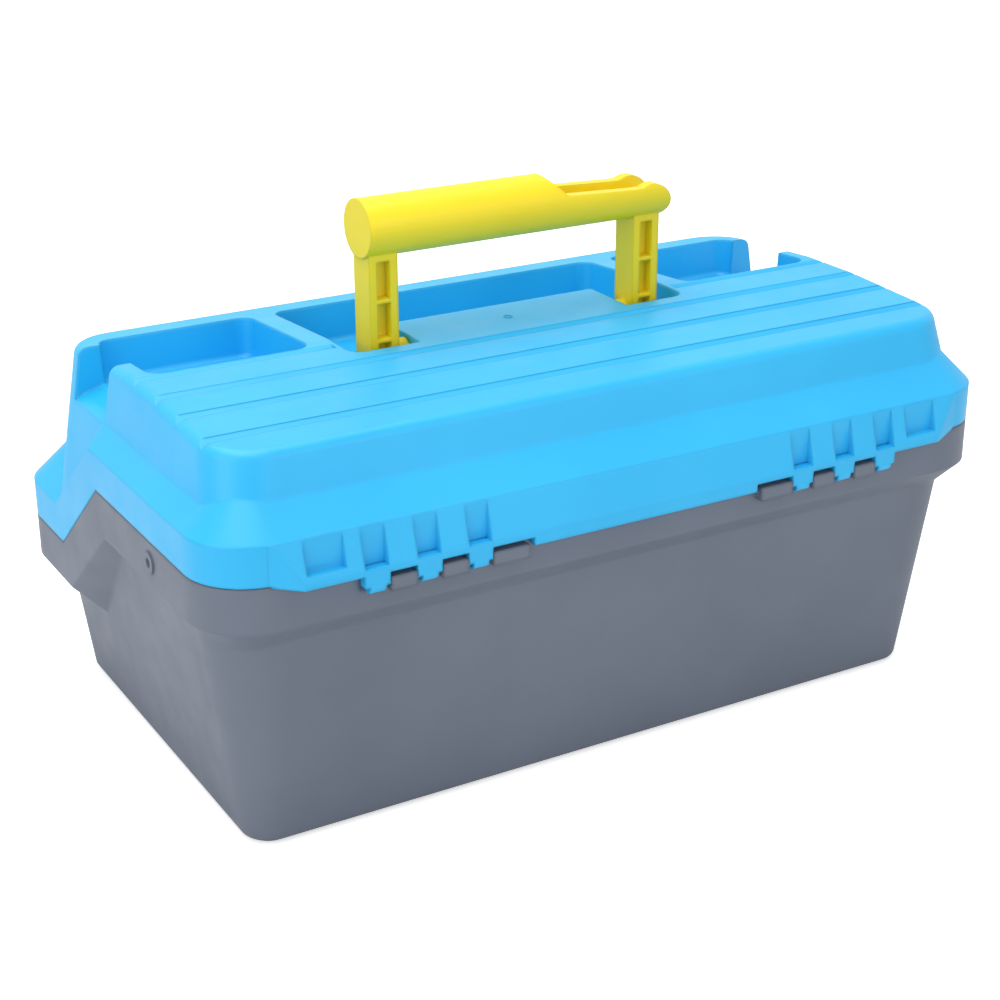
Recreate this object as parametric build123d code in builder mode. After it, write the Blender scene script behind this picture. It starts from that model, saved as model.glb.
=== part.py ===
from build123d import *
import math
import os

os.makedirs("parts", exist_ok=True)

# Three-tray tackle box, closed, latches to the front (-Y), hinges to the rear (+Y).
# Sizes are in millimetres, Z is up and the feet stand on Z = 0.

# Rim, where base and lid meet
RIM_LENGTH = 396.0
RIM_DEPTH = 246.0
RIM_CORNER = 28.0
WALL = 2.5
PARTING_REAR = 130.5
STEP_RISE = 45.0
STEP_PEAK_Y = -6.5
STEP_RUN = 54.5
PARTING_GAP = 0.4

# Base tub
BOTTOM_IN_END = 21.0
BOTTOM_IN_FRONT = 18.5
BOTTOM_IN_REAR = 23.0
BOTTOM_CORNER = 13.0
BOTTOM_ROUND = 3.5
FOOT_HEIGHT = 1.0
FLOOR = 2.5
TUB_DRAFT = 7.7
COLLAR_HEIGHT = 20.0
COLLAR_BEVEL = 16.0
FOOT_LENGTH = 59.5
FOOT_DEPTH = 40.0

# Lid shell
BAND_HEIGHT = 17.5
BAND_BEVEL = 18.0
SHOULDER_RISE = 6.5
LID_HEIGHT = 53.0
FRONT_FALL = 5.5
FRONT_FALL_START = 0.5
FRONT_FALL_RUN = 77.0
TOP_FALL = 4.0
TOP_FALL_START = 36.0
TOP_FALL_RUN = 70.0
UPPER_BASE_RISE = 40.0
UPPER_IN_END_LOW = 4.0
UPPER_IN_END_TOP = 13.8
UPPER_IN_REAR_LOW = 3.0
UPPER_IN_REAR_TOP = 19.0
UPPER_IN_FRONT_LOW = 42.0
UPPER_IN_FRONT_TOP = 45.0
UPPER_CORNER_LOW = 24.0
UPPER_CORNER_TOP = 22.0
TOP_ROUND = 5.0

# Open compartments in the front half of the lid
POCKET_DEPTH = 23.5
POCKET_SKIN = 2.5
POCKET_FRONT_RIM = 16.5
SIDE_POCKET_REAR = 7.5
POCKET_END_RIM = 9.5
CENTRE_POCKET_REAR = 24.9
CENTRE_POCKET_HALF = 88.0
POCKET_DIVIDER = 12.0
POCKET_CORNER = 6.0
POCKET_ROUND = 2.5
PLATFORM_HALF = 55.0
PLATFORM_FRONT = -6.0
NOTCH_WIDTH = 39.0
NOTCH_CENTRE = -34.5
NOTCH_DROP = 25.0
SIDE_GROOVE_PLACE = 13.5
GROOVE_PLACES = (38.5, 61.5, 87.5)
GROOVE_DEPTH = 3.0
GROOVE_SOFT = 5.0
GROOVE_STEEP = 0.8
GROOVE_SKIN = 2.0

# Rear hinge
HINGE_OUT = 2.3
HINGE_DOWN = 8.0
KNUCKLE_RADIUS = 3.0
HINGE_PIN = 2.4
RUNNING = 0.05
TAB_PLACES = (82.5, 106.0, 129.5)
TAB_WIDTH = 11.2
STEM_WIDTH = 7.0
SIDE_GAP = 0.3
WIDE_KNUCKLE = 17.0
APRON_HALF = 161.0
APRON_SLANT = 13.0
APRON_DROP = 2.5
APRON_PROUD = 5.0
BEAD_HALF = 57.0
BEAD_DROP = 6.1
TAB_DROP = 7.7
APRON_CLEAR = 0.3
WINDOW_WIDTH = 10.5
WINDOW_SILL = 0.3
WIDE_WINDOW_PLACE = 151.0
WIDE_WINDOW = 17.0
WIDE_WINDOW_SILL = 3.0

# Front latches
LATCH_PLACE = 95.0
LATCH_WIDTH = 42.0
LATCH_PIN_RISE = 14.0
LATCH_PIN = 2.4
LATCH_BARREL = 2.5
LATCH_PLATE = 2.6
LATCH_DROP = 20.0
LATCH_STAND = 0.9
LATCH_LIP = 1.5
EAR_WIDTH = 4.0
CATCH_DROP = 10.0
CATCH_PROUD = 0.6

# Carry handle
GRIP_RADIUS = 13.2
GRIP_Y = 11.5
GRIP_RISE = 51.2
GRIP_OVERHANG = 1.5
GRIP_BREAK = -14.0
GRIP_RAMP = 9.0
CHANNEL_TOP_RISE = 4.5
CHANNEL_DIP = 1.6
CHANNEL_WIDTH = 14.0
CHANNEL_DEPTH = 10.5
CHEEK_RADIUS = 10.2
LEG_INNER = 62.0
LEG_OUTER = 76.0
LEG_DEPTH = 15.0
HANDLE_PIVOT_DOWN = 6.6
STUB_RADIUS = 3.5
STUB_REACH = 8.0
LEG_POCKET_WIDTH = 6.4
LEG_POCKET_DEPTH = 5.0
LEG_RIB_RISES = (19.0, 1.0)
LEG_RIB = 2.0

# Trays
TRAY_END_ROOM = 34.0
TRAY_FRONT_ROOM = 3.0
TRAY_REAR_REACH = 4.8
LOWER_TRAY_LONGER = 18.0
TRAY_HEIGHT = 23.0
TRAY_WALL = 1.8
TRAY_CORNER = 7.0
TRAY_PIN_DROP = 3.5
TRAY_PIN_IN = 33.8
TRAY_GAP = 3.0
TRAY_LID_GAP = 2.0
LONG_WALL_FROM_PIN = (-32.8, -6.8, 35.2)
TRAY_BAYS = (2, 3, 4)
DIVIDER = 1.6
DIVIDER_HEIGHT = 18.0
DIVIDER_CLEAR = 0.2
RAIL = 1.2

# Tray arms and lid links
ARM_PIVOT_IN = 69.0
ARM_PIVOT_DOWN = 1.5
ARM_SPACING = 26.0
LOWER_PIN_REACH = 25.0
ARM_THICK = 2.0
ARM_RADIUS = 5.0
LAYER_GAP = 0.6
ARM_PIN = 4.0
LOOSE = 0.25
LINK_CRANK = (-17.5, 18.4)
LINK_SPAN = (69.1, -2.7)
LUG_FROM_HINGE = (-17.0, 13.5)
LINK_HOLE = 6.4
LINK_RADIUS = 5.4
LUG_THICK = 2.6
BOSS_RADIUS = 5.5
EYE_BOSS_RADIUS = 5.0
EYE_BOSS_PROUD = 0.8
PIN_RECESS = 2.5
PIN_HEAD = 3.6

# Places worked out from the sizes above
HALF_LENGTH = RIM_LENGTH / 2
HALF_DEPTH = RIM_DEPTH / 2
PARTING_FRONT = PARTING_REAR - STEP_RISE
LID_TOP = PARTING_REAR + LID_HEIGHT
UPPER_BASE_Z = PARTING_FRONT + UPPER_BASE_RISE
BOTTOM_LENGTH = RIM_LENGTH - 2 * BOTTOM_IN_END
BOTTOM_DEPTH = RIM_DEPTH - BOTTOM_IN_FRONT - BOTTOM_IN_REAR
BOTTOM_SHIFT = (BOTTOM_IN_FRONT - BOTTOM_IN_REAR) / 2
POCKET_FRONT = UPPER_IN_FRONT_TOP + POCKET_FRONT_RIM - HALF_DEPTH
SIDE_POCKET_INNER = CENTRE_POCKET_HALF + POCKET_DIVIDER
SIDE_POCKET_OUTER = HALF_LENGTH - UPPER_IN_END_TOP - POCKET_END_RIM
HINGE_Y = HALF_DEPTH + HINGE_OUT
HINGE_Z = PARTING_REAR - HINGE_DOWN
APRON_FACE = HALF_DEPTH + APRON_PROUD
APRON_LOW = PARTING_REAR - APRON_DROP
LATCH_PIN_Y = -HALF_DEPTH - SIDE_GAP - LATCH_BARREL
LATCH_PIN_Z = PARTING_FRONT + LATCH_PIN_RISE
LATCH_LOW = PARTING_FRONT - LATCH_DROP
LATCH_FRONT = -APRON_FACE - SIDE_GAP
CATCH_Z = PARTING_FRONT - CATCH_DROP
GRIP_Z = LID_TOP + GRIP_RISE
GRIP_END = LEG_OUTER + GRIP_OVERHANG
CHANNEL_TOP = GRIP_Z + CHANNEL_TOP_RISE
CHANNEL_FLOOR = CHANNEL_TOP - CHANNEL_DEPTH
CHEEK_CENTRE = -(LEG_INNER + LEG_OUTER) / 2
HANDLE_PIVOT_Z = LID_TOP - HANDLE_PIVOT_DOWN
ARM_PIVOT_Y = HINGE_Y - ARM_PIVOT_IN
ARM_PIVOT_Z = HINGE_Z - ARM_PIVOT_DOWN
LUG_PLACE = (HINGE_Y + LUG_FROM_HINGE[0], HINGE_Z + LUG_FROM_HINGE[1])
TRAY_LENGTH = RIM_LENGTH - 2 * TRAY_END_ROOM
TRAY_FRONT = UPPER_IN_FRONT_TOP + WALL + TRAY_FRONT_ROOM - HALF_DEPTH
TRAY_REAR = ARM_PIVOT_Y - TRAY_REAR_REACH
STEP_ANGLE = math.degrees(math.atan2(STEP_RISE, STEP_RUN))
MITRE = math.tan(math.radians(STEP_ANGLE / 2))
STEP_FOOT_Y = STEP_PEAK_Y - STEP_RUN
POCKET_FLOOR = LID_TOP - POCKET_DEPTH
FAR = 400.0

# The trays hang under the lid's compartments, each one tray height and a gap below the next
UPPER_PIN_REACH = ARM_PIVOT_Y - TRAY_FRONT - TRAY_PIN_IN
UPPER_PIN_RISE = POCKET_FLOOR - POCKET_SKIN - TRAY_LID_GAP - TRAY_PIN_DROP - ARM_PIVOT_Z
ARM_STEPS = [
    (
        -LOWER_PIN_REACH - step * (UPPER_PIN_REACH - LOWER_PIN_REACH) / 2,
        UPPER_PIN_RISE - (2 - step) * (TRAY_HEIGHT + TRAY_GAP),
    )
    for step in range(3)
]

INNER_LAYER = TRAY_LENGTH / 2 + LAYER_GAP
OUTER_LAYER = INNER_LAYER + ARM_THICK + LAYER_GAP
LINK_LAYER = OUTER_LAYER + ARM_THICK + LAYER_GAP
LUG_LAYER = LINK_LAYER + ARM_THICK + LAYER_GAP


def side_prism(points, half_width=FAR):
    """A prism of the given Y, Z outline, the same on both sides of the middle."""
    with BuildPart() as prism:
        with BuildSketch(Plane.YZ):
            with BuildLine():
                Polyline(*points, close=True)
            make_face()
        extrude(amount=half_width, both=True)
    return prism.part


def parting_line(lift):
    """The stepped line between base and lid, moved up by lift square to itself."""
    shift = -lift * MITRE
    return [
        (FAR, PARTING_REAR + lift),
        (STEP_PEAK_Y + shift, PARTING_REAR + lift),
        (STEP_FOOT_Y + shift, PARTING_FRONT + lift),
        (-FAR, PARTING_FRONT + lift),
    ]


def zone(front_kink, rear_kink):
    """The slab between the mitre planes through two points of the parting line."""
    def edge(kink, z):
        return (kink[0] - (z - kink[1]) * MITRE, z)
    return side_prism([
        edge(front_kink, -FAR),
        edge(rear_kink, -FAR),
        edge(rear_kink, FAR),
        edge(front_kink, FAR),
    ])


def flat_collar(parting, band, bevel, inset, upward):
    """The rim band on one level, with a bevel of 45 degrees past its far edge."""
    turn = 1 if upward else -1
    edge = parting + turn * (band - 0.41 * inset)
    length = RIM_LENGTH - 2 * inset
    depth = RIM_DEPTH - 2 * inset
    plane = Plane((0, 0, edge), z_dir=(0, 0, turn))
    back = Plane((0, 0, edge), z_dir=(0, 0, -turn))
    with BuildPart() as collar:
        with BuildSketch(plane):
            RectangleRounded(length, depth, RIM_CORNER - inset)
        extrude(amount=bevel, taper=45)
        with BuildSketch(back):
            RectangleRounded(length, depth, RIM_CORNER - inset)
        extrude(amount=band + 20)
    return collar.part


def sloped_collar(band, bevel, inset, upward):
    """The rim band along the slope of the step, drawn square to the slope."""
    turn = 1 if upward else -1
    half = HALF_LENGTH - inset
    edge = turn * (band - 0.41 * inset)
    angle = math.radians(STEP_ANGLE)
    down = (0, -math.cos(angle), -math.sin(angle))
    plane = Plane((0, STEP_PEAK_Y, PARTING_REAR), x_dir=(1, 0, 0), z_dir=down)
    with BuildPart() as collar:
        with BuildSketch(plane):
            with BuildLine():
                Polyline(
                    (-half, -turn * 20),
                    (half, -turn * 20),
                    (half, edge),
                    (half - bevel, edge + turn * bevel),
                    (bevel - half, edge + turn * bevel),
                    (-half, edge),
                    close=True,
                )
            make_face()
        extrude(amount=250, both=True)
    return collar.part


def stepped_collar(band, bevel, inset, upward):
    """The whole rim band: high at the rear, a slope on each end, low at the front."""
    peak = (STEP_PEAK_Y, PARTING_REAR)
    foot = (STEP_FOOT_Y, PARTING_FRONT)
    rear = flat_collar(PARTING_REAR, band, bevel, inset, upward)
    slope = sloped_collar(band, bevel, inset, upward)
    front = flat_collar(PARTING_FRONT, band, bevel, inset, upward)
    rear_zone = zone(peak, (FAR, PARTING_REAR))
    slope_zone = zone(foot, peak)
    front_zone = zone((-FAR, PARTING_FRONT), foot)
    with BuildPart() as collar:
        add(rear & rear_zone)
        add(slope & slope_zone & front_limit(inset))
        add(front & front_zone)
    return collar.part


def front_limit(inset):
    """The rim outline as a tall block, which keeps the sloped band inside it."""
    with BuildPart() as block:
        with BuildSketch(Plane.XY.offset(-FAR)):
            RectangleRounded(RIM_LENGTH - 2 * inset, RIM_DEPTH - 2 * inset, RIM_CORNER - inset)
        extrude(amount=2 * FAR)
    return block.part


def tub_form(inset):
    """The base as a filled form: a drafted tub with the flared collar round its top."""
    with BuildPart() as form:
        with BuildSketch(Plane((0, BOTTOM_SHIFT, FOOT_HEIGHT))):
            RectangleRounded(
                BOTTOM_LENGTH - 2 * inset, BOTTOM_DEPTH - 2 * inset, BOTTOM_CORNER - inset
            )
        extrude(amount=PARTING_REAR, taper=-TUB_DRAFT)
        fillet(form.faces().sort_by(Axis.Z)[0].edges(), BOTTOM_ROUND)
        add(stepped_collar(COLLAR_HEIGHT, COLLAR_BEVEL, inset, False))
    return form.part


def upper_form(inset):
    """The upper body of the lid, drawn in towards the top, most of all at the front."""
    top = LID_TOP - inset
    share = (top - UPPER_BASE_Z) / (LID_TOP - UPPER_BASE_Z)
    reach = 1 + 20 / (LID_TOP - UPPER_BASE_Z)

    def outline(part):
        """Length, depth, middle and corner a part of the way up, 0 low and 1 at the top."""
        end = UPPER_IN_END_LOW + part * (UPPER_IN_END_TOP - UPPER_IN_END_LOW)
        length = RIM_LENGTH - 2 * end
        rear = HALF_DEPTH - UPPER_IN_REAR_LOW - part * (UPPER_IN_REAR_TOP - UPPER_IN_REAR_LOW)
        front = UPPER_IN_FRONT_LOW + part * (UPPER_IN_FRONT_TOP - UPPER_IN_FRONT_LOW) - HALF_DEPTH
        corner = UPPER_CORNER_LOW + part * (UPPER_CORNER_TOP - UPPER_CORNER_LOW)
        slanted = inset * 1.25
        return (
            length - 2 * inset,
            rear - front - inset - slanted,
            (rear - inset + front + slanted) / 2,
            corner - inset,
        )

    low_part = 1 - reach
    low_z = UPPER_BASE_Z - 20
    length, depth, middle, corner = outline(low_part)
    top_length, top_depth, top_middle, top_corner = outline(share)
    with BuildPart() as form:
        with BuildSketch(Plane((0, middle, low_z))):
            RectangleRounded(length, depth, corner)
        with BuildSketch(Plane((0, top_middle, top))):
            RectangleRounded(top_length, top_depth, top_corner)
        loft(ruled=True)
        add(
            side_prism([
                (FRONT_FALL_START - RIM_DEPTH, 0),
                (FRONT_FALL_START - RIM_DEPTH, top - FRONT_FALL * RIM_DEPTH / FRONT_FALL_RUN),
                (FRONT_FALL_START, top),
                (TOP_FALL_START, top),
                (TOP_FALL_START + RIM_DEPTH, top - TOP_FALL * RIM_DEPTH / TOP_FALL_RUN),
                (TOP_FALL_START + RIM_DEPTH, 0),
            ]),
            mode=Mode.INTERSECT,
        )
        crown = form.faces().filter_by(lambda face: face.normal_at().Z > 0.99)
        creases = (FRONT_FALL_START, TOP_FALL_START)
        rim = [
            edge for edge in crown.edges()
            if abs(edge.center().X) > 5
            or min(abs(edge.center().Y - crease) for crease in creases) > 5
        ]
        fillet(rim, TOP_ROUND - inset * 0.6)
    return form.part


def shoulder(inset):
    """The shallow slope that joins the front bevel to the steep front wall of the upper body."""
    low = PARTING_FRONT + BAND_HEIGHT + BAND_BEVEL - inset * 0.41
    wall = UPPER_IN_FRONT_LOW - HALF_DEPTH + inset
    bevel_end = BAND_BEVEL - HALF_DEPTH + inset
    slope = side_prism([
        (bevel_end, low - 3),
        (bevel_end, low),
        (wall, low + SHOULDER_RISE),
        (wall + 8, low + SHOULDER_RISE),
        (wall + 8, low - 3),
    ])
    return slope & front_limit(BAND_BEVEL + inset)


def lid_form(inset):
    """The lid as a filled form: rim band, bevel, front shoulder and upper body."""
    with BuildPart() as form:
        add(upper_form(inset))
        add(stepped_collar(BAND_HEIGHT, BAND_BEVEL, inset, True))
        add(shoulder(inset))
    return form.part


def box_between(x_low, x_high, y_low, y_high, z_low, z_high):
    """A plain block between two corners."""
    with BuildPart() as block:
        with BuildSketch(Plane(((x_low + x_high) / 2, (y_low + y_high) / 2, z_low))):
            Rectangle(x_high - x_low, y_high - y_low)
        extrude(amount=z_high - z_low)
    return block.part


def rod(radius, x_low, x_high, y, z):
    """A round rod along X."""
    with BuildPart() as bar:
        with BuildSketch(Plane((x_low, y, z), x_dir=(0, 1, 0), z_dir=(1, 0, 0))):
            Circle(radius)
        extrude(amount=x_high - x_low)
    return bar.part


def both_sides(shape):
    """The shape and its mirror image across the middle of the box."""
    return [shape, mirror(shape, about=Plane.YZ)]


def pocket(x_low, x_high, y_low, y_high):
    """The cutter of one open compartment, drafted and with a rounded floor edge."""
    with BuildPart() as cutter:
        with BuildSketch(Plane(((x_low + x_high) / 2, (y_low + y_high) / 2, POCKET_FLOOR))):
            RectangleRounded(x_high - x_low - 1.6, y_high - y_low - 1.6, POCKET_CORNER)
        extrude(amount=POCKET_DEPTH + 6, taper=-3)
        fillet(cutter.faces().sort_by(Axis.Z)[0].edges(), POCKET_ROUND)
    return cutter.part


# Where the knuckles of the base lie: between the tabs of the lid, and a wide one inside
tab_pitch = TAB_PLACES[1] - TAB_PLACES[0]
knuckle_width = tab_pitch - TAB_WIDTH - 2 * SIDE_GAP
narrow_knuckles = [place + tab_pitch / 2 for place in TAB_PLACES[:-1]]
wide_knuckle_centre = TAB_PLACES[0] - TAB_WIDTH / 2 - SIDE_GAP - WIDE_KNUCKLE / 2
knuckles = [(place, knuckle_width) for place in narrow_knuckles]
knuckles.append((wide_knuckle_centre, WIDE_KNUCKLE))
pin_inner = wide_knuckle_centre - WIDE_KNUCKLE / 2
pin_outer = TAB_PLACES[-1] + STEM_WIDTH / 2

# Base tub: one moulding with its collar, feet, hinge knuckles, arm bosses and catches
cavity = tub_form(WALL)
below_parting = side_prism(parting_line(0) + [(-FAR, -FAR), (FAR, -FAR)])
above_floor = side_prism([
    (-FAR, FOOT_HEIGHT + FLOOR), (FAR, FOOT_HEIGHT + FLOOR), (FAR, FAR), (-FAR, FAR),
])
outer_tub = tub_form(0) & below_parting
front_boss_end = LINK_LAYER - LAYER_GAP / 3
rear_boss_end = OUTER_LAYER - LAYER_GAP / 2
rear_pivot_y = ARM_PIVOT_Y + ARM_SPACING

with BuildPart() as base_tub:
    add(outer_tub)
    add(cavity & above_floor, mode=Mode.SUBTRACT)
    with BuildSketch(Plane((0, BOTTOM_SHIFT, 0))):
        foot_length = BOTTOM_LENGTH - 2 * BOTTOM_ROUND
        foot_depth = BOTTOM_DEPTH - 2 * BOTTOM_ROUND
        RectangleRounded(foot_length, foot_depth, BOTTOM_CORNER - BOTTOM_ROUND)
        Rectangle(foot_length - 2 * FOOT_LENGTH, foot_depth + 1, mode=Mode.SUBTRACT)
        Rectangle(foot_length + 1, foot_depth - 2 * FOOT_DEPTH, mode=Mode.SUBTRACT)
    extrude(amount=FOOT_HEIGHT + 0.5)
    for side in (-1, 1):
        for place, width in knuckles:
            low = side * place - width / 2
            add(box_between(
                low, low + width, HALF_DEPTH - 0.5, HINGE_Y + KNUCKLE_RADIUS,
                HINGE_Z - KNUCKLE_RADIUS, HINGE_Z + KNUCKLE_RADIUS,
            ))
        for place in TAB_PLACES:
            low = side * place - TAB_WIDTH / 2 - SIDE_GAP
            add(
                rod(
                    KNUCKLE_RADIUS + 0.4, low, low + TAB_WIDTH + 2 * SIDE_GAP,
                    HINGE_Y, HINGE_Z,
                ),
                mode=Mode.SUBTRACT,
            )
        add(
            rod(
                HINGE_PIN / 2, min(side * pin_inner, side * pin_outer) + 1,
                max(side * pin_inner, side * pin_outer), HINGE_Y, HINGE_Z,
            ),
            mode=Mode.SUBTRACT,
        )
    for shape in both_sides(rod(
        BOSS_RADIUS, front_boss_end, HALF_LENGTH - 1, ARM_PIVOT_Y, ARM_PIVOT_Z
    )):
        add(shape)
    for shape in both_sides(rod(
        BOSS_RADIUS, rear_boss_end, HALF_LENGTH - 1, rear_pivot_y, ARM_PIVOT_Z
    )):
        add(shape)
    for shape in both_sides(rod(
        EYE_BOSS_RADIUS, HALF_LENGTH - 1, HALF_LENGTH + EYE_BOSS_PROUD, ARM_PIVOT_Y, ARM_PIVOT_Z
    )):
        add(shape)
    for shape in both_sides(rod(
        ARM_PIN / 2, front_boss_end - 1, HALF_LENGTH + 2, ARM_PIVOT_Y, ARM_PIVOT_Z
    )):
        add(shape, mode=Mode.SUBTRACT)
    for shape in both_sides(rod(
        ARM_PIN / 2, rear_boss_end - 1, HALF_LENGTH - PIN_RECESS, rear_pivot_y, ARM_PIVOT_Z
    )):
        add(shape, mode=Mode.SUBTRACT)
    for side in (-1, 1):
        centre = side * LATCH_PLACE
        with BuildSketch(Plane((centre - LATCH_WIDTH / 2, 0, 0), x_dir=(0, 1, 0), z_dir=(1, 0, 0))):
            with BuildLine():
                Polyline(
                    (-HALF_DEPTH + 1, CATCH_Z - 2.5),
                    (-HALF_DEPTH + 1, CATCH_Z + 2.5),
                    (-HALF_DEPTH, CATCH_Z + 2.5),
                    (-HALF_DEPTH - CATCH_PROUD, CATCH_Z + 0.8),
                    (-HALF_DEPTH - CATCH_PROUD, CATCH_Z - 0.8),
                    (-HALF_DEPTH, CATCH_Z - 2.5),
                    close=True,
                )
            make_face()
        extrude(amount=LATCH_WIDTH)
base_tub.part.label = "base_tub"
export_step(base_tub.part, "parts/base_tub.step")

# Lid shell: one moulding with compartments, platform, ribbed top, apron and hinge tabs
outer_lid = lid_form(0)
lid_cavity = lid_form(WALL)
above_parting = side_prism(parting_line(PARTING_GAP) + [(-FAR, FAR), (FAR, FAR)])
far_below = POCKET_FLOOR - POCKET_SKIN
side_block = box_between(
    SIDE_POCKET_INNER - POCKET_SKIN, SIDE_POCKET_OUTER + POCKET_SKIN,
    POCKET_FRONT - POCKET_SKIN, SIDE_POCKET_REAR + POCKET_SKIN, far_below, LID_TOP - 1,
)
centre_block = box_between(
    -CENTRE_POCKET_HALF - POCKET_SKIN, CENTRE_POCKET_HALF + POCKET_SKIN,
    POCKET_FRONT - POCKET_SKIN, CENTRE_POCKET_REAR + POCKET_SKIN, far_below, LID_TOP - 1,
)
notch_low = LID_TOP - NOTCH_DROP
notch_block = box_between(
    SIDE_POCKET_OUTER, HALF_LENGTH, NOTCH_CENTRE - NOTCH_WIDTH / 2 - WALL,
    NOTCH_CENTRE + NOTCH_WIDTH / 2 + WALL, notch_low - WALL, LID_TOP - 1,
) & outer_lid
side_pocket = pocket(SIDE_POCKET_INNER, SIDE_POCKET_OUTER, POCKET_FRONT, SIDE_POCKET_REAR)
centre_pocket = pocket(
    -CENTRE_POCKET_HALF, CENTRE_POCKET_HALF, POCKET_FRONT, CENTRE_POCKET_REAR
)
with BuildPart() as notch_cut:
    with BuildSketch(Plane.XZ.offset(-NOTCH_CENTRE + NOTCH_WIDTH / 2)):
        with BuildLine():
            Polyline(
                (SIDE_POCKET_OUTER - 3, LID_TOP + 5),
                (SIDE_POCKET_OUTER - 3, POCKET_FLOOR + POCKET_ROUND),
                (SIDE_POCKET_OUTER + 3, POCKET_FLOOR),
                (HALF_LENGTH - 14, notch_low),
                (HALF_LENGTH + 5, notch_low - 10),
                (HALF_LENGTH + 5, LID_TOP + 5),
                close=True,
            )
        make_face()
    extrude(amount=-NOTCH_WIDTH)
with BuildPart() as apron_end:
    with BuildSketch(Plane.XZ.offset(-APRON_FACE - 2)):
        with BuildLine():
            Polyline(
                (APRON_HALF, APRON_LOW - 1),
                (APRON_HALF, APRON_LOW),
                (APRON_HALF + APRON_SLANT, PARTING_REAR),
                (APRON_HALF + APRON_SLANT + 5, PARTING_REAR),
                (APRON_HALF + APRON_SLANT + 5, APRON_LOW - 1),
                close=True,
            )
        make_face()
    extrude(amount=APRON_PROUD + 4)
with BuildPart() as apron:
    with BuildSketch(Plane.XY.offset(APRON_LOW)):
        with BuildLine():
            Polyline(
                (-APRON_HALF - APRON_SLANT, HALF_DEPTH - 0.5),
                (-APRON_HALF - APRON_SLANT, HALF_DEPTH),
                (-APRON_HALF, APRON_FACE),
                (APRON_HALF, APRON_FACE),
                (APRON_HALF + APRON_SLANT, HALF_DEPTH),
                (APRON_HALF + APRON_SLANT, HALF_DEPTH - 0.5),
                close=True,
            )
        make_face()
    extrude(amount=PARTING_REAR + BAND_HEIGHT - APRON_LOW)
    for shape in both_sides(apron_end.part):
        add(shape, mode=Mode.SUBTRACT)
    add(box_between(
        -BEAD_HALF, BEAD_HALF, HALF_DEPTH - 0.5, APRON_FACE,
        PARTING_REAR - BEAD_DROP, APRON_LOW,
    ))
    add(
        side_prism([
            (HALF_DEPTH + 0.3, PARTING_REAR + BAND_HEIGHT + 0.1),
            (APRON_FACE, PARTING_REAR),
            (APRON_FACE + 10, PARTING_REAR),
            (APRON_FACE + 10, PARTING_REAR + BAND_HEIGHT + 0.1),
        ]),
        mode=Mode.SUBTRACT,
    )
    add(
        side_prism([
            (HALF_DEPTH - 2, 0),
            (HALF_DEPTH + APRON_CLEAR, 0),
            (HALF_DEPTH + APRON_CLEAR, PARTING_REAR + PARTING_GAP),
            (HALF_DEPTH - 2, PARTING_REAR + PARTING_GAP),
        ]),
        mode=Mode.SUBTRACT,
    )
    windows = [(place, WINDOW_WIDTH, WINDOW_SILL) for place in TAB_PLACES]
    windows.append((WIDE_WINDOW_PLACE, WIDE_WINDOW, WIDE_WINDOW_SILL))
    for side in (-1, 1):
        for place, width, sill in windows:
            low = side * place - width / 2
            add(
                box_between(
                    low, low + width, HALF_DEPTH + 0.4, APRON_FACE + 5, PARTING_REAR + sill,
                    PARTING_REAR + BAND_HEIGHT + 5,
                ),
                mode=Mode.SUBTRACT,
            )
with BuildPart() as lid_lug:
    with BuildSketch(Plane((LUG_LAYER, 0, 0), x_dir=(0, 1, 0), z_dir=(1, 0, 0))):
        with BuildLine():
            Polyline(
                (LUG_PLACE[0] - 4, LUG_PLACE[1]),
                (LUG_PLACE[0] + 4, LUG_PLACE[1]),
                (LUG_PLACE[0] + 8, LUG_PLACE[1] + 14),
                (LUG_PLACE[0] + 8, LUG_PLACE[1] + 40),
                (LUG_PLACE[0] - 12, LUG_PLACE[1] + 40),
                close=True,
            )
        make_face()
        with Locations(LUG_PLACE):
            Circle(4)
    extrude(amount=LUG_THICK)
    add(outer_lid, mode=Mode.INTERSECT)


def groove_top(place):
    """The height of the lid's top where a groove lies."""
    return LID_TOP - max(0, place - TOP_FALL_START) * TOP_FALL / TOP_FALL_RUN


def groove_cut(place):
    """The cutter of one groove: a long soft slope, then a steep edge at the rear."""
    top = groove_top(place)
    return side_prism([
        (place + GROOVE_STEEP, top + 1),
        (place + GROOVE_STEEP, top),
        (place, top - GROOVE_DEPTH),
        (place - GROOVE_SOFT, top),
        (place - GROOVE_SOFT, top + 1),
    ])


def groove_underside(place):
    """The skin under one groove, so that the groove doesn't cut through the lid."""
    top = groove_top(place)
    return side_prism([
        (place - GROOVE_SOFT, top - WALL + 0.5),
        (place - GROOVE_SOFT, top - WALL),
        (place - GROOVE_STEEP, top - GROOVE_DEPTH - GROOVE_SKIN),
        (place + GROOVE_STEEP + GROOVE_SKIN, top - GROOVE_DEPTH - GROOVE_SKIN),
        (place + GROOVE_STEEP + GROOVE_SKIN, top - WALL + 0.5),
    ])


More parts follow.
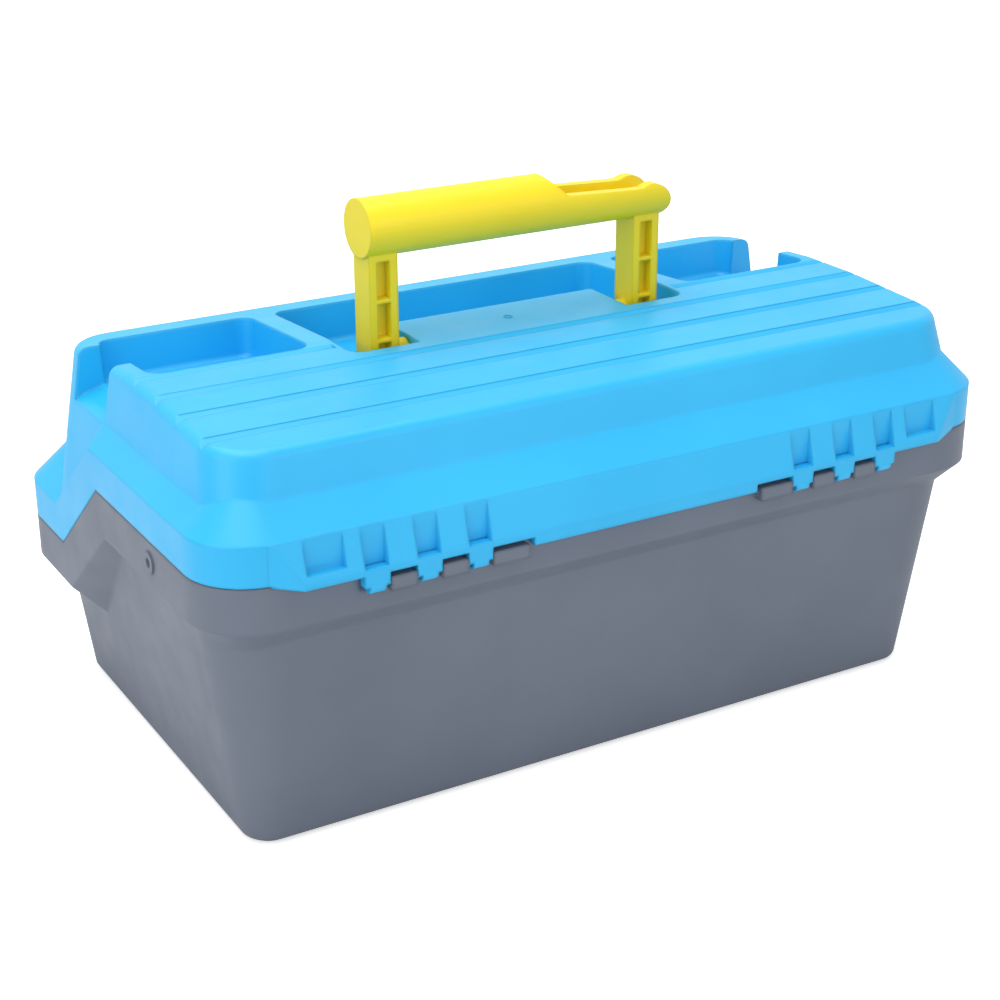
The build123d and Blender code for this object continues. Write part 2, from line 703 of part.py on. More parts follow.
# The front groove stops at the middle compartment, the others cross the whole lid
side_groove = groove_cut(SIDE_GROOVE_PLACE) & box_between(
    CENTRE_POCKET_HALF + POCKET_SKIN, HALF_LENGTH, 0, HALF_DEPTH, 0, FAR
)
with BuildPart() as lid_shell:
    add(outer_lid & above_parting)
    add(lid_cavity, mode=Mode.SUBTRACT)
    for place in (SIDE_GROOVE_PLACE,) + GROOVE_PLACES:
        add(groove_underside(place) & outer_lid)
    for shape in both_sides(side_block & outer_lid):
        add(shape)
    add(centre_block & outer_lid)
    for shape in both_sides(notch_block):
        add(shape)
    for shape in both_sides(side_pocket):
        add(shape, mode=Mode.SUBTRACT)
    add(centre_pocket, mode=Mode.SUBTRACT)
    for shape in both_sides(notch_cut.part):
        add(shape, mode=Mode.SUBTRACT)
    with BuildSketch(Plane(
        (0, (PLATFORM_FRONT + CENTRE_POCKET_REAR + 2) / 2, POCKET_FLOOR - 1)
    )):
        RectangleRounded(
            2 * PLATFORM_HALF, CENTRE_POCKET_REAR + 2 - PLATFORM_FRONT, 2
        )
    extrude(amount=LID_TOP - POCKET_FLOOR + 1)
    for shape in both_sides(rod(
        STUB_RADIUS + RUNNING, PLATFORM_HALF - STUB_REACH - 1, PLATFORM_HALF + 1,
        GRIP_Y, HANDLE_PIVOT_Z,
    )):
        add(shape, mode=Mode.SUBTRACT)
    for shape in both_sides(side_groove):
        add(shape, mode=Mode.SUBTRACT)
    for place in GROOVE_PLACES:
        add(groove_cut(place), mode=Mode.SUBTRACT)
    add(apron.part)
    for side in (-1, 1):
        for place in TAB_PLACES:
            low = side * place - TAB_WIDTH / 2
            stem_low = side * place - STEM_WIDTH / 2
            add(box_between(
                low, low + TAB_WIDTH, HALF_DEPTH + APRON_CLEAR, APRON_FACE,
                PARTING_REAR - TAB_DROP, APRON_LOW,
            ))
            add(rod(KNUCKLE_RADIUS, stem_low, stem_low + STEM_WIDTH, HINGE_Y, HINGE_Z))
        bore_low = min(side * pin_inner, side * pin_outer) - 1
        add(
            rod(
                HINGE_PIN / 2 + RUNNING, bore_low, bore_low + pin_outer - pin_inner + 2,
                HINGE_Y, HINGE_Z,
            ),
            mode=Mode.SUBTRACT,
        )
        for ear in (-1, 1):
            centre = side * LATCH_PLACE + ear * (LATCH_WIDTH / 2 + SIDE_GAP + EAR_WIDTH / 2)
            add(rod(
                LATCH_BARREL, centre - EAR_WIDTH / 2, centre + EAR_WIDTH / 2,
                LATCH_PIN_Y, LATCH_PIN_Z,
            ))
            add(box_between(
                centre - EAR_WIDTH / 2, centre + EAR_WIDTH / 2, LATCH_PIN_Y, -HALF_DEPTH + 0.5,
                LATCH_PIN_Z - LATCH_BARREL, LATCH_PIN_Z + LATCH_BARREL,
            ))
        pin_reach = LATCH_WIDTH / 2 + SIDE_GAP + EAR_WIDTH
        add(
            rod(
                LATCH_PIN / 2, side * LATCH_PLACE - pin_reach - 1,
                side * LATCH_PLACE + pin_reach + 1, LATCH_PIN_Y, LATCH_PIN_Z,
            ),
            mode=Mode.SUBTRACT,
        )
    for shape in both_sides(lid_lug.part):
        add(shape)
    for shape in both_sides(rod(
        ARM_PIN / 2, LINK_LAYER - LAYER_GAP / 2, LUG_LAYER + 1, LUG_PLACE[0], LUG_PLACE[1]
    )):
        add(shape)
lid_shell.part.label = "lid_shell"
export_step(lid_shell.part, "parts/lid_shell.step")

# Hinge pins, one through each group of knuckles and tabs
for name, side in (("left", -1), ("right", 1)):
    with BuildPart() as hinge_pin:
        start = min(side * pin_inner, side * pin_outer)
        add(rod(HINGE_PIN / 2, start + 1, start + pin_outer - pin_inner, HINGE_Y, HINGE_Z))
    hinge_pin.part.label = "hinge_pin_" + name
    export_step(hinge_pin.part, "parts/hinge_pin_" + name + ".step")

# Carry handle: a round grip, part of it an open channel, on two ribbed legs
with BuildPart() as carry_handle:
    add(rod(GRIP_RADIUS, GRIP_BREAK, GRIP_END, GRIP_Y, GRIP_Z))
    with BuildSketch(Plane.XZ.offset(-GRIP_Y - GRIP_RADIUS)) as cheek:
        with BuildLine():
            Polyline(
                (GRIP_BREAK + 5, GRIP_Z - GRIP_RADIUS),
                (GRIP_BREAK + 5, GRIP_Z + GRIP_RADIUS),
                (GRIP_BREAK, GRIP_Z + GRIP_RADIUS),
                (GRIP_BREAK - GRIP_RAMP, CHANNEL_TOP),
                (CHEEK_CENTRE + CHEEK_RADIUS, CHANNEL_TOP - CHANNEL_DIP),
                (CHEEK_CENTRE, CHANNEL_TOP - CHANNEL_DIP),
                (CHEEK_CENTRE, GRIP_Z - GRIP_RADIUS),
                close=True,
            )
        make_face()
        with Locations((CHEEK_CENTRE, CHANNEL_TOP - CHEEK_RADIUS)):
            Circle(CHEEK_RADIUS)
    extrude(amount=2 * GRIP_RADIUS)
    add(
        rod(GRIP_RADIUS, CHEEK_CENTRE - CHEEK_RADIUS - 1, GRIP_END, GRIP_Y, GRIP_Z),
        mode=Mode.INTERSECT,
    )
    add(
        box_between(
            CHEEK_CENTRE - CHEEK_RADIUS - 1, GRIP_BREAK - 6, GRIP_Y - CHANNEL_WIDTH / 2,
            GRIP_Y + CHANNEL_WIDTH / 2, CHANNEL_FLOOR, GRIP_Z + GRIP_RADIUS,
        ),
        mode=Mode.SUBTRACT,
    )
    for side in (-1, 1):
        centre = side * (LEG_INNER + LEG_OUTER) / 2
        width = LEG_OUTER - LEG_INNER
        add(box_between(
            centre - width / 2, centre + width / 2, GRIP_Y - LEG_DEPTH / 2,
            GRIP_Y + LEG_DEPTH / 2, HANDLE_PIVOT_Z, GRIP_Z - GRIP_RADIUS / 2,
        ))
        add(rod(
            LEG_DEPTH / 2, centre - width / 2, centre + width / 2, GRIP_Y, HANDLE_PIVOT_Z
        ))
        pocket_edges = [GRIP_Z - GRIP_RADIUS - 1]
        for rise in LEG_RIB_RISES:
            pocket_edges += [LID_TOP + rise + LEG_RIB / 2, LID_TOP + rise - LEG_RIB / 2]
        pocket_edges.append(HANDLE_PIVOT_Z)
        for number in range(0, len(pocket_edges), 2):
            add(
                box_between(
                    centre - LEG_POCKET_WIDTH / 2, centre + LEG_POCKET_WIDTH / 2,
                    GRIP_Y + LEG_DEPTH / 2 - LEG_POCKET_DEPTH, GRIP_Y + LEG_DEPTH,
                    pocket_edges[number + 1], pocket_edges[number],
                ),
                mode=Mode.SUBTRACT,
            )
        stub_inner = PLATFORM_HALF - STUB_REACH
        add(rod(
            STUB_RADIUS, min(side * stub_inner, side * (LEG_INNER + 1)),
            max(side * stub_inner, side * (LEG_INNER + 1)), GRIP_Y, HANDLE_PIVOT_Z,
        ))
        collar_inner = PLATFORM_HALF + SIDE_GAP
        add(rod(
            STUB_RADIUS + 1.5, min(side * collar_inner, side * (LEG_INNER + 1)),
            max(side * collar_inner, side * (LEG_INNER + 1)), GRIP_Y, HANDLE_PIVOT_Z,
        ))
carry_handle.part.label = "carry_handle"
export_step(carry_handle.part, "parts/carry_handle.step")

# Front latches: flaps on the lid that close over a bead on the base
latch_back = -HALF_DEPTH - LATCH_STAND
for name, side in (("left", -1), ("right", 1)):
    with BuildPart() as latch:
        low_x = side * LATCH_PLACE - LATCH_WIDTH / 2
        add(rod(LATCH_BARREL, low_x, low_x + LATCH_WIDTH, LATCH_PIN_Y, LATCH_PIN_Z))
        with BuildSketch(Plane((low_x, 0, 0), x_dir=(0, 1, 0), z_dir=(1, 0, 0))):
            with BuildLine():
                Polyline(
                    (latch_back, LATCH_PIN_Z),
                    (latch_back, LATCH_LOW + 4),
                    (latch_back - LATCH_LIP, LATCH_LOW),
                    (LATCH_FRONT, LATCH_LOW),
                    (LATCH_FRONT, LATCH_LOW + 2.5),
                    (latch_back - LATCH_PLATE, LATCH_LOW + 8),
                    (latch_back - LATCH_PLATE, LATCH_PIN_Z),
                    close=True,
                )
            make_face()
        extrude(amount=LATCH_WIDTH)
        add(
            rod(LATCH_PIN / 2 + RUNNING, low_x - 1, low_x + LATCH_WIDTH + 1,
                LATCH_PIN_Y, LATCH_PIN_Z),
            mode=Mode.SUBTRACT,
        )
    latch.part.label = "latch_" + name
    export_step(latch.part, "parts/latch_" + name + ".step")
    with BuildPart() as latch_pin:
        reach = LATCH_WIDTH / 2 + SIDE_GAP + EAR_WIDTH
        add(rod(
            LATCH_PIN / 2, side * LATCH_PLACE - reach, side * LATCH_PLACE + reach,
            LATCH_PIN_Y, LATCH_PIN_Z,
        ))
    latch_pin.part.label = "latch_pin_" + name
    export_step(latch_pin.part, "parts/latch_pin_" + name + ".step")

# Trays: open mouldings, each with one long wall, rails for dividers and loose dividers
for step, name in enumerate(("lower", "middle", "upper")):
    bays = TRAY_BAYS[step]
    tray_depth = TRAY_REAR - TRAY_FRONT + (LOWER_TRAY_LONGER if step == 0 else 0)
    tray_middle_y = TRAY_FRONT + tray_depth / 2
    pin_y = ARM_PIVOT_Y + ARM_STEPS[step][0]
    wall_place = pin_y + LONG_WALL_FROM_PIN[step]
    pin_z = ARM_PIVOT_Z + ARM_STEPS[step][1]
    bottom = pin_z + TRAY_PIN_DROP - TRAY_HEIGHT
    inside = bottom + TRAY_WALL
    bay = (TRAY_LENGTH - 2 * TRAY_WALL) / bays
    divider_places = [-TRAY_LENGTH / 2 + TRAY_WALL + bay * number for number in range(1, bays)]
    rows = (
        (TRAY_FRONT + TRAY_WALL, wall_place - TRAY_WALL / 2),
        (wall_place + TRAY_WALL / 2, TRAY_FRONT + tray_depth - TRAY_WALL),
    )
    with BuildPart() as tray:
        with BuildSketch(Plane((0, tray_middle_y, bottom))):
            RectangleRounded(TRAY_LENGTH, tray_depth, TRAY_CORNER)
        extrude(amount=TRAY_HEIGHT)
        fillet(tray.faces().sort_by(Axis.Z)[0].edges(), 2)
        with BuildSketch(Plane((0, tray_middle_y, inside))):
            RectangleRounded(
                TRAY_LENGTH - 2 * TRAY_WALL, tray_depth - 2 * TRAY_WALL, TRAY_CORNER - TRAY_WALL
            )
        extrude(amount=TRAY_HEIGHT, mode=Mode.SUBTRACT)
        add(box_between(
            -TRAY_LENGTH / 2 + 1, TRAY_LENGTH / 2 - 1, wall_place - TRAY_WALL / 2,
            wall_place + TRAY_WALL / 2, bottom + 1, bottom + TRAY_HEIGHT - 2,
        ))
        for place in divider_places:
            for row_low, row_high in rows:
                for wall_side, wall_y in ((1, row_low), (-1, row_high)):
                    for rail_side in (-1, 1):
                        rail_x = place + rail_side * (DIVIDER / 2 + DIVIDER_CLEAR + RAIL / 2)
                        rail_low = min(wall_y - wall_side * 0.5, wall_y + wall_side * RAIL)
                        add(box_between(
                            rail_x - RAIL / 2, rail_x + RAIL / 2, rail_low,
                            rail_low + RAIL + 0.5, bottom + 1, inside + DIVIDER_HEIGHT,
                        ))
        for shape in both_sides(rod(
            ARM_PIN / 2, TRAY_LENGTH / 2 - TRAY_WALL - 1, TRAY_LENGTH / 2 + 1, pin_y, pin_z
        )):
            add(shape, mode=Mode.SUBTRACT)
        for shape in both_sides(rod(
            ARM_PIN / 2, TRAY_LENGTH / 2 - TRAY_WALL - 1, TRAY_LENGTH / 2 + 1,
            pin_y + ARM_SPACING, pin_z,
        )):
            add(shape, mode=Mode.SUBTRACT)
    tray.part.label = "tray_" + name
    export_step(tray.part, "parts/tray_" + name + ".step")

    with BuildPart() as dividers:
        for place in divider_places:
            for row_low, row_high in rows:
                add(box_between(
                    place - DIVIDER / 2, place + DIVIDER / 2, row_low + DIVIDER_CLEAR,
                    row_high - DIVIDER_CLEAR, inside, inside + DIVIDER_HEIGHT,
                ))
    dividers.part.label = "dividers_" + name
    export_step(dividers.part, "parts/dividers_" + name + ".step")

    with BuildPart() as rivets:
        head = TRAY_LENGTH / 2 - TRAY_WALL - 1.2
        for reach, y in (
            (LINK_LAYER - LAYER_GAP, pin_y),
            (OUTER_LAYER - LAYER_GAP, pin_y + ARM_SPACING),
        ):
            for shape in both_sides(rod(ARM_PIN / 2, head, reach, y, pin_z)):
                add(shape)
            for shape in both_sides(rod(PIN_HEAD, head, head + 1.2, y, pin_z)):
                add(shape)
    rivets.part.label = "tray_rivets_" + name
    export_step(rivets.part, "parts/tray_rivets_" + name + ".step")

# Tray arms: two flat bars on each end, which carry the trays as a parallelogram
arm_points = [(0.0, 0.0)] + list(ARM_STEPS)


def arm_bar(layer, pivot_y, with_crank, tray_hole):
    """One arm on the right end, with its pivot hole and three tray holes."""
    corners = [(pivot_y + y, ARM_PIVOT_Z + z) for y, z in arm_points]
    crank = (pivot_y + LINK_CRANK[0], ARM_PIVOT_Z + LINK_CRANK[1])
    with BuildPart() as bar:
        with BuildSketch(Plane((layer, 0, 0), x_dir=(0, 1, 0), z_dir=(1, 0, 0))):
            with BuildLine():
                Polyline(corners[0], corners[1], corners[3])
            trace(line_width=2 * ARM_RADIUS)
            if with_crank:
                with BuildLine():
                    Polyline(corners[0], crank)
                trace(line_width=2 * ARM_RADIUS)
                with Locations(crank):
                    Circle(ARM_RADIUS)
            for corner in corners:
                with Locations(corner):
                    Circle(ARM_RADIUS)
            with Locations(corners[0]):
                Circle(ARM_PIN / 2 + RUNNING, mode=Mode.SUBTRACT)
            for corner in corners[1:]:
                with Locations(corner):
                    Circle(tray_hole, mode=Mode.SUBTRACT)
            if with_crank:
                with Locations(crank):
                    Circle(ARM_PIN / 2, mode=Mode.SUBTRACT)
        extrude(amount=ARM_THICK)
    return bar.part


front_bar = arm_bar(OUTER_LAYER, ARM_PIVOT_Y, True, ARM_PIN / 2 + RUNNING)
rear_bar = arm_bar(INNER_LAYER, rear_pivot_y, False, ARM_PIN / 2 + LOOSE)
for kind, bar in (("front_arm", front_bar), ("rear_arm", rear_bar)):
    with BuildPart() as arm_right:
        add(bar)
    arm_right.part.label = kind + "_right"
    export_step(arm_right.part, "parts/" + kind + "_right.step")
    with BuildPart() as arm_left:
        add(mirror(bar, about=Plane.YZ))
    arm_left.part.label = kind + "_left"
    export_step(arm_left.part, "parts/" + kind + "_left.step")

# Pivot pins of the arms, seated in the bosses of the base
with BuildPart() as arm_pivots:
    for shape in both_sides(rod(
        ARM_PIN / 2, OUTER_LAYER, HALF_LENGTH - PIN_RECESS, ARM_PIVOT_Y, ARM_PIVOT_Z
    )):
        add(shape)
    for shape in both_sides(rod(
        ARM_PIN / 2, INNER_LAYER, HALF_LENGTH - PIN_RECESS, rear_pivot_y, ARM_PIVOT_Z
    )):
        add(shape)
arm_pivots.part.label = "arm_pivots"
export_step(arm_pivots.part, "parts/arm_pivots.step")

# Lid links: they join a crank on each front arm to a lug in the lid
crank_place = (ARM_PIVOT_Y + LINK_CRANK[0], ARM_PIVOT_Z + LINK_CRANK[1])
link_end = (crank_place[0] + LINK_SPAN[0], crank_place[1] + LINK_SPAN[1])
with BuildPart() as link_right:
    with BuildSketch(Plane((LINK_LAYER, 0, 0), x_dir=(0, 1, 0), z_dir=(1, 0, 0))):
        with BuildLine():
            Polyline(crank_place, link_end)
        trace(line_width=7)
        with Locations(crank_place):
            Circle(ARM_RADIUS)
        with Locations(link_end):
            Circle(LINK_RADIUS)
            Circle(LINK_HOLE / 2, mode=Mode.SUBTRACT)
        with Locations(crank_place):
            Circle(ARM_PIN / 2 + RUNNING, mode=Mode.SUBTRACT)
    extrude(amount=ARM_THICK)
link_right.part.label = "lid_link_right"
export_step(link_right.part, "parts/lid_link_right.step")
with BuildPart() as link_left:
    add(mirror(link_right.part, about=Plane.YZ))
link_left.part.label = "lid_link_left"
export_step(link_left.part, "parts/lid_link_left.step")

with BuildPart() as link_pins:
    for shape in both_sides(rod(
        ARM_PIN / 2, OUTER_LAYER, LINK_LAYER + ARM_THICK, crank_place[0], crank_place[1]
    )):
        add(shape)
link_pins.part.label = "link_pins"
export_step(link_pins.part, "parts/link_pins.step")
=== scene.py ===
import math

import bmesh
import bpy
from mathutils import Matrix, Vector


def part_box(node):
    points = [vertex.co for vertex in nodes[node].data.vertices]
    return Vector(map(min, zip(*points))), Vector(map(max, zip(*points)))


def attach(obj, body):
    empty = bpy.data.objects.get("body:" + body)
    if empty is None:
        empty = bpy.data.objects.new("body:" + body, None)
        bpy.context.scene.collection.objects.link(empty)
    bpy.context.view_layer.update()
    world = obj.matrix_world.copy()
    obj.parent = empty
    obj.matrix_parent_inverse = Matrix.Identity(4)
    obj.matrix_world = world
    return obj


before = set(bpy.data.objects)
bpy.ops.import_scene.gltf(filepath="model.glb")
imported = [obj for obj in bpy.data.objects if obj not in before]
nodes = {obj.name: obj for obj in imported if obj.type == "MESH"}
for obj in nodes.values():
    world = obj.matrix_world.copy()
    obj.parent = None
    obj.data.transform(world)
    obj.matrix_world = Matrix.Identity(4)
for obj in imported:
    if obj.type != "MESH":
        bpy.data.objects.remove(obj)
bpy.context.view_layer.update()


# Base tub. One injection moulding in grey polypropylene, drafted to leave the tool, with a flared
# collar round the rim. Its skin has a fine satin grain from the tool, with faint cloudy patches
# that are a little deeper in tone.
BASE_GREY = (0.130, 0.156, 0.205)
BASE_GREY_DEEP = (0.116, 0.140, 0.186)
BASE_ROUGHNESS = 0.48
CLOUD_SIZE = 0.09
GLOSS_PATCH_SIZE = 0.02
GLOSS_SPREAD = 0.05
PLASTIC_IOR = 1.49


def link(tree, source, target):
    """Joins an output socket to an input socket."""
    tree.links.new(source, target)


def grain_nodes(tree, size, detail):
    """Noise in the piece's own coordinates, whose grains are about size metres across."""
    place = tree.nodes.new("ShaderNodeTexCoord")
    noise = tree.nodes.new("ShaderNodeTexNoise")
    noise.inputs["Scale"].default_value = 1.0 / size
    noise.inputs["Detail"].default_value = detail
    noise.inputs["Roughness"].default_value = 0.55
    link(tree, place.outputs["Object"], noise.inputs["Vector"])
    return noise


def two_tones(tree, noise, first, second, low=0.35, high=0.65):
    """A soft change between two colours that follows the noise."""
    ramp = tree.nodes.new("ShaderNodeValToRGB")
    ramp.color_ramp.elements[0].position = low
    ramp.color_ramp.elements[0].color = (*first, 1.0)
    ramp.color_ramp.elements[1].position = high
    ramp.color_ramp.elements[1].color = (*second, 1.0)
    link(tree, noise.outputs["Fac"], ramp.inputs["Fac"])
    return ramp


def spread(tree, noise, low, high):
    """The noise brought into the range from low to high."""
    change = tree.nodes.new("ShaderNodeMapRange")
    change.inputs["From Min"].default_value = 0.3
    change.inputs["From Max"].default_value = 0.7
    change.inputs["To Min"].default_value = low
    change.inputs["To Max"].default_value = high
    link(tree, noise.outputs["Fac"], change.inputs["Value"])
    return change


def moulded_plastic(name, colour, deep, roughness, grain=0.0007, depth=0.00003, edge=0.0009):
    """Satin moulded plastic: cloudy tone, tool grain in the bump, softly rounded edges."""
    material = bpy.data.materials.new(name)
    material.use_nodes = True
    tree = material.node_tree
    shader = tree.nodes["Principled BSDF"]
    cloud = grain_nodes(tree, CLOUD_SIZE, 3.0)
    tones = two_tones(tree, cloud, deep, colour)
    link(tree, tones.outputs["Color"], shader.inputs["Base Color"])
    patch = grain_nodes(tree, GLOSS_PATCH_SIZE, 4.0)
    gloss = spread(tree, patch, roughness - GLOSS_SPREAD, roughness + GLOSS_SPREAD)
    link(tree, gloss.outputs["Result"], shader.inputs["Roughness"])
    shader.inputs["IOR"].default_value = PLASTIC_IOR
    rounding = tree.nodes.new("ShaderNodeBevel")
    rounding.samples = 6
    rounding.inputs["Radius"].default_value = edge
    texture = grain_nodes(tree, grain, 2.0)
    bump = tree.nodes.new("ShaderNodeBump")
    bump.inputs["Strength"].default_value = 0.35
    bump.inputs["Distance"].default_value = depth
    link(tree, texture.outputs["Fac"], bump.inputs["Height"])
    link(tree, rounding.outputs["Normal"], bump.inputs["Normal"])
    link(tree, bump.outputs["Normal"], shader.inputs["Normal"])
    return material


def finish_node(name, material):
    """Gives a piece of the frame its material."""
    piece = nodes[name]
    piece.data.materials.clear()
    piece.data.materials.append(material)


base_plastic = moulded_plastic(
    "base_plastic", BASE_GREY, BASE_GREY_DEEP, BASE_ROUGHNESS, edge=0.003
)
finish_node("base_tub", base_plastic)


# Lid shell. One moulding in sky blue polypropylene with its compartments, platform, ribbed top
# and hinge tabs, in the same satin grain as the base.
LID_BLUE = (0.018, 0.440, 0.810)
LID_BLUE_DEEP = (0.013, 0.415, 0.780)
lid_plastic = moulded_plastic("lid_plastic", LID_BLUE, LID_BLUE_DEEP, 0.40, edge=0.002)
finish_node("lid_shell", lid_plastic)


# Gate mark on the lid. The small ring that the mould's gate leaves in the middle of the platform,
# a hair proud of the face between the handle's legs, in the lid's own plastic.
GATE_ASIDE = 0.0025
GATE_BEHIND_GRIP = 0.0015
GATE_RADIUS = 0.0019
GATE_PROUD = 0.0003
lid_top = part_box("lid_shell")[1].z
grip_low, grip_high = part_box("carry_handle")
bpy.ops.mesh.primitive_torus_add(
    location=(GATE_ASIDE, (grip_low.y + grip_high.y) / 2 + GATE_BEHIND_GRIP, lid_top),
    major_radius=GATE_RADIUS, minor_radius=GATE_PROUD, major_segments=48, minor_segments=10,
)
gate_mark = bpy.context.object
gate_mark.name = "gate_mark"
gate_mark.data.materials.append(lid_plastic)
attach(gate_mark, "lid")


# Carry handle and front latches. Yellow mouldings of the same plastic, a shade glossier than the
# base.
YELLOW = (0.860, 0.680, 0.008)
YELLOW_DEEP = (0.830, 0.640, 0.005)
yellow_plastic = moulded_plastic("yellow_plastic", YELLOW, YELLOW_DEEP, 0.44, edge=0.0016)
for name in ("carry_handle", "latch_left", "latch_right"):
    finish_node(name, yellow_plastic)


# Trays and their loose dividers. Thin grey mouldings, the dividers cut from a slightly darker
# sheet so that they show in their rails.
TRAY_GREY = (0.60, 0.62, 0.65)
TRAY_GREY_DEEP = (0.55, 0.57, 0.60)
DIVIDER_GREY = (0.42, 0.44, 0.47)
DIVIDER_GREY_DEEP = (0.38, 0.40, 0.43)
TRAY_ROUGHNESS = 0.42
tray_plastic = moulded_plastic(
    "tray_plastic", TRAY_GREY, TRAY_GREY_DEEP, TRAY_ROUGHNESS, edge=0.0005
)
divider_plastic = moulded_plastic(
    "divider_plastic", DIVIDER_GREY, DIVIDER_GREY_DEEP, TRAY_ROUGHNESS, edge=0.0004
)
for level in ("lower", "middle", "upper"):
    finish_node("tray_" + level, tray_plastic)
    finish_node("dividers_" + level, divider_plastic)


# Tray arms and lid links. Flat bars punched from dark sheet plastic, which fold beside the trays
# when the lid is shut.
ARM_BLACK = (0.050, 0.053, 0.058)
ARM_BLACK_DEEP = (0.038, 0.040, 0.045)
arm_plastic = moulded_plastic("arm_plastic", ARM_BLACK, ARM_BLACK_DEEP, 0.38, edge=0.0004)
for name in ("front_arm", "rear_arm", "lid_link"):
    for side in ("left", "right"):
        finish_node(name + "_" + side, arm_plastic)


# Pins and rivets. Drawn steel wire, cut and headed, with fine lines and a few duller patches.
STEEL_BRIGHT = (0.66, 0.66, 0.67)
STEEL_DULL = (0.52, 0.52, 0.53)


def drawn_steel(name):
    """Bright drawn wire with faint lines and a few duller patches."""
    material = bpy.data.materials.new(name)
    material.use_nodes = True
    tree = material.node_tree
    shader = tree.nodes["Principled BSDF"]
    shader.inputs["Metallic"].default_value = 1.0
    patch = grain_nodes(tree, 0.004, 3.0)
    tones = two_tones(tree, patch, STEEL_DULL, STEEL_BRIGHT)
    link(tree, tones.outputs["Color"], shader.inputs["Base Color"])
    gloss = spread(tree, patch, 0.24, 0.40)
    link(tree, gloss.outputs["Result"], shader.inputs["Roughness"])
    wave = tree.nodes.new("ShaderNodeTexWave")
    wave.bands_direction = "X"
    wave.inputs["Scale"].default_value = 900.0
    wave.inputs["Distortion"].default_value = 2.0
    place = tree.nodes.new("ShaderNodeTexCoord")
    link(tree, place.outputs["Object"], wave.inputs["Vector"])
    bump = tree.nodes.new("ShaderNodeBump")
    bump.inputs["Strength"].default_value = 0.15
    bump.inputs["Distance"].default_value = 0.00002
    link(tree, wave.outputs["Fac"], bump.inputs["Height"])
    link(tree, bump.outputs["Normal"], shader.inputs["Normal"])
    return material


pin_steel = drawn_steel("pin_steel")
for name in (
    "hinge_pin_left", "hinge_pin_right", "latch_pin_left", "latch_pin_right", "arm_pivots",
    "link_pins", "tray_rivets_lower", "tray_rivets_middle", "tray_rivets_upper",
):
    finish_node(name, pin_steel)


# The table that the box stands on. A wide sheet of white paper, seen white and lit plainly, which
# keeps the soft shadow under the box.
SHEET_HALF = 6.0
SHEET_DROP = 0.0002
PAPER_WHITE = (0.88, 0.88, 0.88)
PAPER_WHITE_DEEP = (0.86, 0.86, 0.86)
PAPER_GLOW = 0.55


def paper_material():
    """White paper: plain to the light, pure white where the camera sees it unshaded."""
    material = bpy.data.materials.new("paper")
    material.use_nodes = True
    tree = material.node_tree
    shader = tree.nodes["Principled BSDF"]
    weave = grain_nodes(tree, 0.3, 2.0)
    tones = two_tones(tree, weave, PAPER_WHITE_DEEP, PAPER_WHITE)
    link(tree, tones.outputs["Color"], shader.inputs["Base Color"])
    shader.inputs["Roughness"].default_value = 0.9
    glow = tree.nodes.new("ShaderNodeEmission")
    glow.inputs["Color"].default_value = (1.0, 1.0, 1.0, 1.0)
    path = tree.nodes.new("ShaderNodeLightPath")
    share = tree.nodes.new("ShaderNodeMath")
    share.operation = "MULTIPLY"
    share.inputs[1].default_value = PAPER_GLOW
    link(tree, path.outputs["Is Camera Ray"], share.inputs[0])
    link(tree, share.outputs["Value"], glow.inputs["Strength"])
    both = tree.nodes.new("ShaderNodeAddShader")
    out = tree.nodes["Material Output"]
    link(tree, shader.outputs["BSDF"], both.inputs[0])
    link(tree, glow.outputs["Emission"], both.inputs[1])
    link(tree, both.outputs["Shader"], out.inputs["Surface"])
    return material


sheet = bmesh.new()
bmesh.ops.create_grid(sheet, x_segments=1, y_segments=1, size=SHEET_HALF)
sheet_mesh = bpy.data.meshes.new("paper_sheet")
sheet.to_mesh(sheet_mesh)
sheet.free()
paper = bpy.data.objects.new("paper_sheet", sheet_mesh)
bpy.context.scene.collection.objects.link(paper)
paper.location = (0.0, 0.0, -SHEET_DROP)
sheet_mesh.materials.append(paper_material())


# Studio light. A large soft box above, a smaller one off the right end and one off the hinge side,
# under a plain pale sky.
SKY_LEVEL = 0.62
SKY_SEEN = 1.0


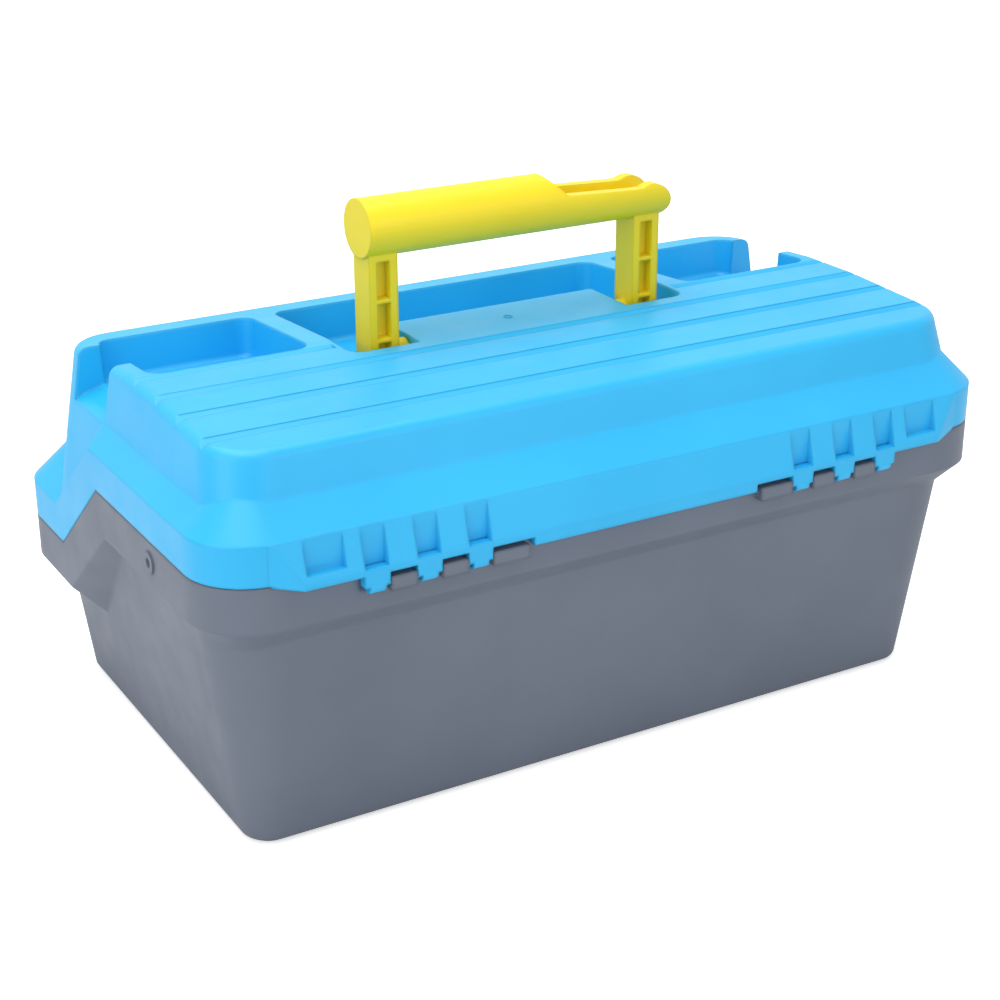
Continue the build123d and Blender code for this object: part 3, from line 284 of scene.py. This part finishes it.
def soft_box(name, place, aim, width, height, power):
    """A rectangular lamp that faces the point it is aimed at."""
    lamp = bpy.data.lights.new(name, "AREA")
    lamp.shape = "RECTANGLE"
    lamp.size = width
    lamp.size_y = height
    lamp.energy = power
    holder = bpy.data.objects.new(name, lamp)
    holder.location = place
    turn = (Vector(aim) - Vector(place)).to_track_quat("-Z", "Y")
    holder.rotation_euler = turn.to_euler()
    bpy.context.scene.collection.objects.link(holder)


soft_box("top_light", (0.2, -0.1, 1.6), (0.0, 0.0, 0.1), 1.6, 1.2, 19.0)
soft_box("end_light", (1.5, 0.5, 0.7), (0.0, 0.0, 0.12), 1.0, 1.0, 7.0)
soft_box("rear_light", (-0.5, 1.9, 0.9), (0.0, 0.0, 0.12), 1.2, 1.0, 6.5)

world = bpy.data.worlds.new("studio")
bpy.context.scene.world = world
world.use_nodes = True
sky = world.node_tree
background = sky.nodes["Background"]
background.inputs["Color"].default_value = (1.0, 1.0, 1.0, 1.0)
path = sky.nodes.new("ShaderNodeLightPath")
seen = sky.nodes.new("ShaderNodeMath")
seen.operation = "MAXIMUM"
link(sky, path.outputs["Is Camera Ray"], seen.inputs[0])
link(sky, path.outputs["Is Glossy Ray"], seen.inputs[1])
level = sky.nodes.new("ShaderNodeMapRange")
level.inputs["To Min"].default_value = SKY_LEVEL
level.inputs["To Max"].default_value = SKY_SEEN
link(sky, seen.outputs["Value"], level.inputs["Value"])
link(sky, level.outputs["Result"], background.inputs["Strength"])

bpy.context.scene.view_settings.view_transform = "Standard"


# Camera. It stands above the box on its hinge side, towards the right end, as the photograph was
# taken.
CAMERA_PLACE = Vector((0.4441, 0.7653, 0.4540))
CAMERA_AIM = Vector((-0.46407, -0.79864, -0.38317))
CAMERA_LENS = 71.08
CAMERA_ROLL = -0.11
lens = bpy.data.cameras.new("camera")
lens.lens = CAMERA_LENS
lens.sensor_width = 36.0
lens.clip_start = 0.01
camera = bpy.data.objects.new("camera", lens)
turn = CAMERA_AIM.to_track_quat("-Z", "Y").to_matrix()
roll = Matrix.Rotation(math.radians(CAMERA_ROLL), 3, "Z")
camera.matrix_world = Matrix.Translation(CAMERA_PLACE) @ (turn @ roll).to_4x4()
bpy.context.scene.collection.objects.link(camera)
bpy.context.scene.camera = camera
